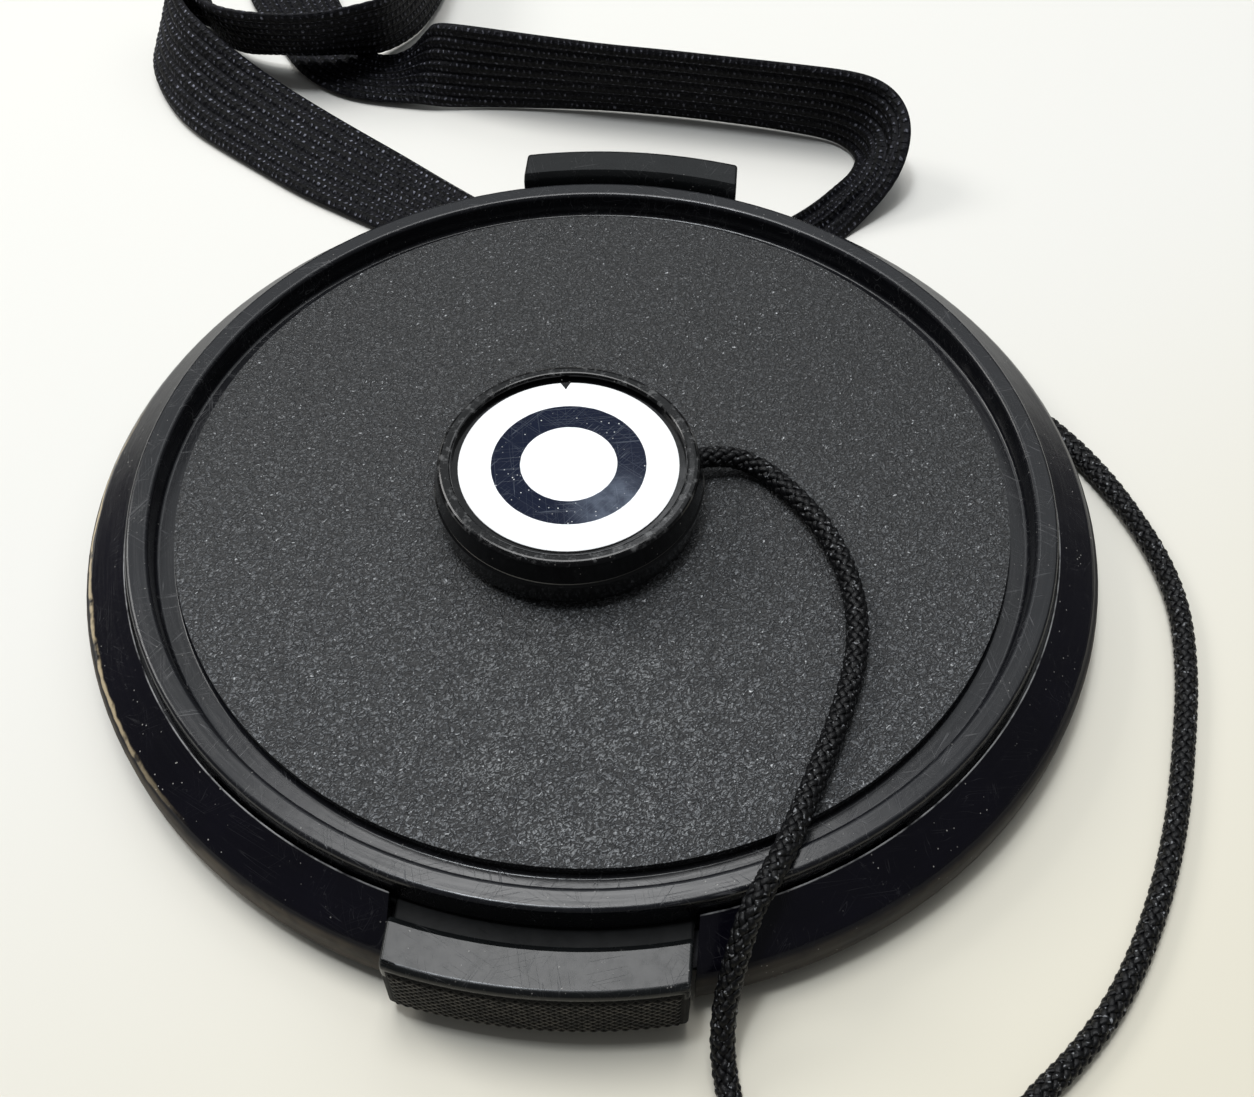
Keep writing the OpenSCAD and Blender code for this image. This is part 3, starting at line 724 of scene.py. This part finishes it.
def label():
    """White film with a dark ring, scuffed, with a painted glare on the ring, and greyed round its
    edge partly by soiling and partly as painted shadow of the rim.
    """
    n = Nodes("label_film")
    lo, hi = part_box("button_label")
    mid = (lo + hi) / 2 / MM
    off = n.vec("SUBTRACT", n.mm, (mid.x, mid.y, 0.0))
    x, y, _ = n.split(off)
    r = n.math("ADD", n.radius(x, y), n.sway(n.noise(2.0, 2.0), 0.05))
    ring = n.times(n.grade(r, *RING_R[0]), n.grade(r, *RING_R[1]))
    lines = n.scratches(0.62, seed=4.0, thin=0.045)
    chips = n.times(n.grade(n.voronoi(2.2), 0.14, 0.06), n.grade(n.noise(0.5, 2.0), 0.36, 0.6))
    # Painted highlight: a soft glare on the dark ring towards the lower right.
    painted_glare = n.times(n.grade(n.vec("DISTANCE", off, GLARE_AT), 4.2, 0.8),
                   n.grade(n.noise(0.9, 4.0, 0.65), 0.3, 0.7, 0.4, 1.0))
    navy = n.mix(n.times(painted_glare, 0.4), (0.0022, 0.005, 0.018), (0.2, 0.235, 0.3))
    navy = n.mix(n.times(lines, 0.25), navy, (0.22, 0.25, 0.3))
    navy = n.mix(n.times(chips, 0.9), navy, (0.75, 0.77, 0.78))
    white = n.mix(n.grade(n.noise(0.4, 3.0), 0.4, 0.75), (0.95, 0.955, 0.97), (0.84, 0.855, 0.88))
    stains = n.times(n.grade(n.noise(3.0, 3.0, 0.7), 0.68, 0.75), 0.3)
    white = n.mix(stains, white, (0.35, 0.34, 0.3))
    # Greyed round the edge: partly soiling and partly painted shadow of the rim.
    white = n.mix(n.times(n.grade(r, 7.7, 8.1), 0.35), white, (0.4, 0.39, 0.36))
    n.bump(lines, 0.003)
    return n.finish(n.mix(ring, white, navy), n.grade(n.noise(1.2, 3.0), 0.3, 0.7, 0.12, 0.22),
                    Specular_IOR_Level=0.12)


def cord_yarn():
    """Black yarn: fine fibres and tiny glints."""
    n = Nodes("cord_yarn")
    hairs = n.noise(6.0, 3.0, 0.7)
    color = n.mix(n.grade(hairs, 0.4, 0.75), (0.001, 0.001, 0.0013), (0.003, 0.003, 0.0039))
    glints = n.grade(n.noise(3.0, 2.0, 0.6), 0.63, 0.7)
    color = n.mix(n.times(glints, 0.8), color, (0.24, 0.245, 0.255))
    n.bump(hairs, 0.05)
    return n.finish(color, n.grade(hairs, 0.3, 0.7, 0.5, 0.3), Specular_IOR_Level=0.2)


KNIT = 0.62  # from one stitch, and its pale dot, to the next


def elastic():
    """Knitted elastic: black ribs of yarn, painted darker in the valleys as shade, with rows of
    small pale dots, partly pale stitches and partly painted highlights.
    """
    n = Nodes("elastic_yarn")
    lay = n.lay()
    along, across, _ = n.split(lay)
    hairs = n.noise(5.5, 3.0, 0.75)
    strands = n.noise(1.0, 3.0, 0.65, at=n.vec("MULTIPLY", lay, (1.1, 7.0, 1.0)))
    rows = 2 * BAND_RIBS
    row = n.math("ABSOLUTE", n.math("SINE", n.times(across, math.pi * rows / BAND_LAY)))
    lag = n.times(n.math("FLOOR", n.times(across, rows / BAND_LAY)), STITCH_SLANT)
    lag = n.math("ADD", lag, n.times(n.noise(0.8, 2.0, at=lay), 9.0))
    knit = n.math("SINE", n.math("ADD", n.times(along, 2 * math.pi / KNIT), lag))
    # Pale dots in rows: partly pale stitches and partly painted highlights, thicker near the cap.
    dots = n.times(n.grade(knit, 0.35, 0.85), n.grade(row, 0.66, 0.95))
    gate = n.grade(n.noise(1.3, 4.0, 0.85, at=lay), 0.47, 0.58)
    dots = n.times(dots, n.times(gate, n.grade(along, 95.0, 70.0, 0.6, 1.0)))
    color = n.mix(n.grade(strands, 0.45, 0.75), (0.001, 0.001, 0.0018), (0.012, 0.012, 0.016))
    color = n.mix(n.times(n.grade(hairs, 0.58, 0.75), 0.5), color, (0.018, 0.018, 0.022))
    # Painted shade: darker in the valleys between the ribs.
    valley = n.math("ABSOLUTE", n.math("SINE", n.times(across, math.pi * BAND_RIBS / BAND_LAY)))
    color = n.vec("SCALE", color, scale=n.grade(valley, 0.2, 0.65, 0.2, 1.25))
    patch = n.grade(n.noise(0.22, 3.0, 0.7, at=lay), 0.35, 0.65, 0.5, 1.0)
    color = n.mix(n.times(dots, patch), color, (0.22, 0.225, 0.27))
    n.bump(n.times(row, n.grade(knit, -0.6, 0.8)), 0.09)
    n.bump(hairs, 0.05)
    return n.finish(color, 0.6, Specular_IOR_Level=0.12)


def plated_steel():
    """Brushed plating with dull spots."""
    n = Nodes("plated_steel")
    base, rough = (0.5, 0.5, 0.51), 0.28
    brushed = n.noise(1.0, 3.0, 0.6, at=n.vec("MULTIPLY", n.mm, (0.8, 9.0, 9.0)))
    spots = n.grade(n.noise(0.8, 4.0, 0.6), 0.55, 0.75)
    color = n.mix(spots, base, tuple(c * 0.55 for c in base))
    n.bump(brushed, 0.004)
    return n.finish(color, n.grade(brushed, 0.3, 0.7, rough * 0.8, rough * 1.4), Metallic=1.0)


def foam():
    """Dark adhesive foam with open cells, painted darker in their hollows as shade."""
    n = Nodes("foam_pad")
    cells = n.voronoi(4.0)
    n.bump(cells, 0.05)
    # Painted shade: darker towards the middle of each cell.
    return n.finish(n.mix(cells, (0.02, 0.02, 0.02), (0.07, 0.07, 0.068)), 0.85)


body_mat = plastic("cap_plastic", (0.0016, 0.0014, 0.0032), 0.2, marks=0.1, shine=0.28, dust=1.0,
                   piece_paint=body_wear_and_light)
cover_mat = plastic("ring_plastic", (0.004, 0.0042, 0.0055), 0.24, marks=0.34, shine=0.36)
tab_mat = plastic("tab_plastic", TAB_BLACK, 0.26, marks=0.18, shine=0.27, streaks=False,
                  piece_paint=tab_painted_shade)
button_mat = plastic("button_plastic", (0.0008, 0.0008, 0.001), 0.13, marks=0.1, shine=0.3,
                     dust=0.9, piece_paint=button_wear_and_highlight)
grip_mat = diamonds()
cord_mat = cord_yarn()
band_mat = elastic()
steel = plated_steel()

paint = {"cap_body": body_mat, "front_cover": cover_mat, "face_disc": grained(),
         "cover_screws": steel, "front_tab": tab_mat, "rear_tab": tab_mat,
         "adhesive_pad": foam(), "button_base": button_mat, "button_rim": button_mat,
         "button_label": label(), "band_clamp": steel}
for name, mat in paint.items():
    me = nodes[name].data
    me.materials.clear()
    me.materials.append(mat)
for mat, pieces in ((cord_mat, (cord, knot)), (band_mat, (band,)), (grip_mat, grips),
                    (steel, springs)):
    for ob in pieces:
        ob.data.materials.append(mat)


# ---- rounded edges: a radius in millimetres, and the angle from which an edge gets it ----

EDGES = (("front_tab", 0.25, 70), ("rear_tab", 0.25, 70), ("front_cover", 0.3, 50))

for name, size, angle in EDGES:
    join = nodes[name].modifiers.new("join", "WELD")
    join.merge_threshold = 0.002 * MM
    edges = nodes[name].modifiers.new("edges", "BEVEL")
    edges.width, edges.segments = size * MM, 3
    edges.limit_method, edges.angle_limit = "ANGLE", math.radians(angle)
    edges.use_clamp_overlap = False
    edges.loop_slide = False
    edges.harden_normals = True


# ---- floor and light ----

FLOOR_HALF = 900.0  # millimetres
# The floor's colour far off, and at the near right, where it is painted darker and warmer as shade.
FLOOR_FAR, FLOOR_NEAR = (0.675, 0.66, 0.62), (0.64, 0.6, 0.49)
ROOM_COLOR, ROOM_LIGHT = (0.94, 0.97, 1.0, 1.0), 0.15

# name, place, what it points at and size in metres, then watts and colour
LIGHTS = (
    ("sky", (0, 0.6, 0.75), (0, 0.6, 0), (1.8, 1.1), 5.8, (0.93, 0.975, 1.0)),
    ("overhead", (-0.05, 0.13, 0.55), (-0.05, 0.13, 0), (0.24, 0.27), 1.75, (1, 1, 1)),
    ("lamp", (-0.1, 0.0, 0.62), (0, 0, 0), (0.07, 0.07), 1.1, (0.88, 0.94, 1.0)),
    ("window", (-0.62, 0.3, 0.55), (0, 0, 0), (0.3, 0.3), 2.5, (1.0, 0.99, 0.97)),
    ("glare", (0.03, 0.4, 0.55), (0.03, 0.4, 0), (0.12, 0.1), 0.16, (0.95, 0.97, 1.0)))


def make_stage():
    """Pale floor, painted darker and warmer towards the near right as the light's fall-off, under a
    faint even light.
    """
    n = Nodes("pale_floor")
    x, y, _ = n.split(n.mm)
    # Painted shade: the floor darkens towards the near right.
    near = n.grade(n.math("ADD", y, n.times(x, -0.6)), 25.0, -80.0)
    mat = n.finish(n.mix(near, FLOOR_FAR, FLOOR_NEAR), 0.8)
    s, z = FLOOR_HALF, FLOOR / MM
    corners = [(-s, -s, z), (s, -s, z), (s, s, z), (-s, s, z)]
    ob = mesh_object("floor", corners, [(0, 1, 2, 3)], False, [mat])
    world = bpy.data.worlds.new("soft_room")
    world.use_nodes = True
    background = world.node_tree.nodes["Background"]
    background.inputs[0].default_value = ROOM_COLOR
    background.inputs[1].default_value = ROOM_LIGHT
    scene.world = world


def area_light(name, place, aim, size, power, color):
    data = bpy.data.lights.new(name, "AREA")
    data.shape = "RECTANGLE"
    data.size, data.size_y = size
    data.energy = power
    data.color = color
    ob = bpy.data.objects.new(name, data)
    scene.collection.objects.link(ob)
    ob.location = place
    ob.rotation_euler = (Vector(aim) - Vector(place)).to_track_quat("-Z", "Y").to_euler()


make_stage()
for light in LIGHTS:
    area_light(*light)
scene.view_settings.view_transform = "Standard"
